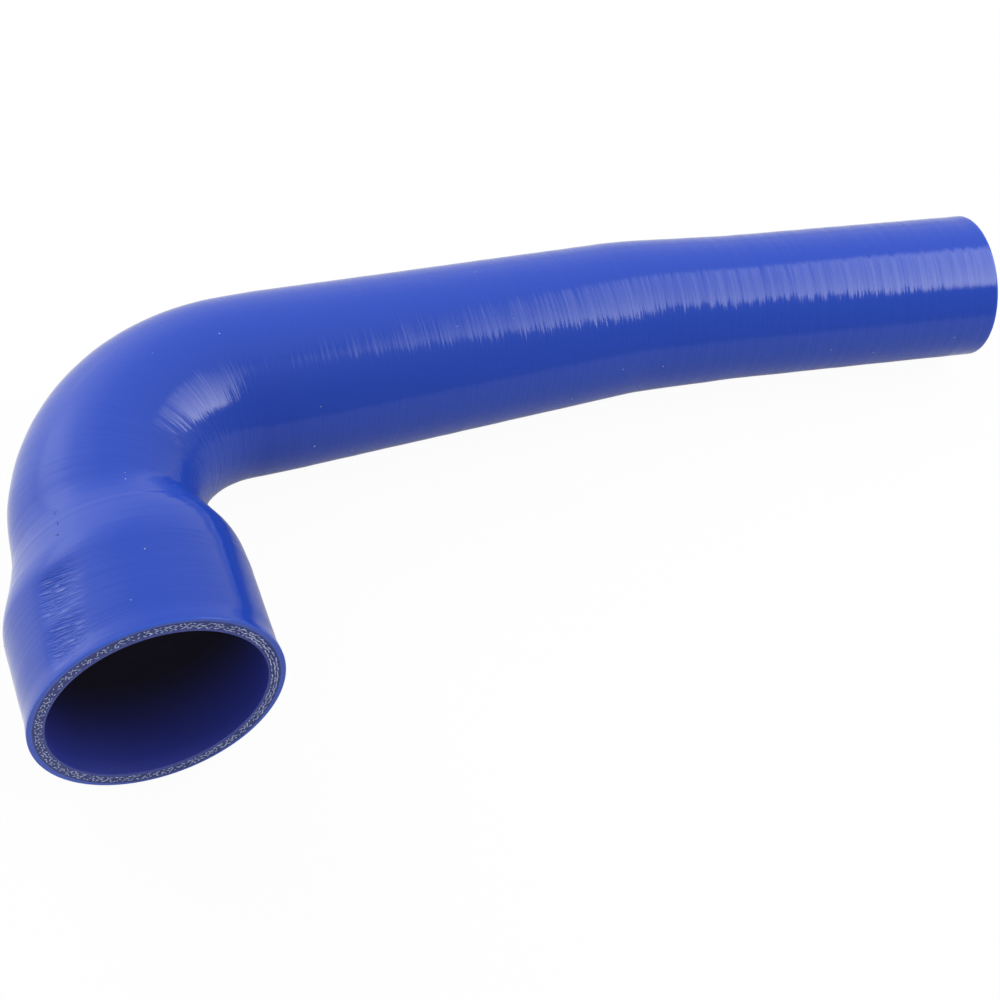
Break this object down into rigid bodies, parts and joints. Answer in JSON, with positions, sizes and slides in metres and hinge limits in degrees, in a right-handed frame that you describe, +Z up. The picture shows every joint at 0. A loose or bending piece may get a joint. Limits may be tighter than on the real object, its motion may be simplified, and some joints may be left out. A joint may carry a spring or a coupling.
{
  "type": "blow-off valve hose",
  "caption": "Moulded silicone hose for a turbo engine's blow-off valve: a wide socket, a short reducer, a tight elbow and a long tapering leg that ends in a narrow cuff.",
  "frame": {"origin": "middle of the bounding box, on the surface that the hose lies on", "axes": "+Z up as the hose rests on its side; +X along the long leg, from the elbow to the narrow cuff; the wide mouth opens towards -Y"},
  "size_m": [0.346, 0.1474, 0.0748],
  "materials": {
    "silicone": "glossy blue silicone rubber with the fine wrap marks of its curing tape",
    "reinforcement": "pale polyester yarn, which shows only in the two cut ends"
  },
  "bodies": {
    "root": {"hose": "silicone"}
  },
  "joints": []
}
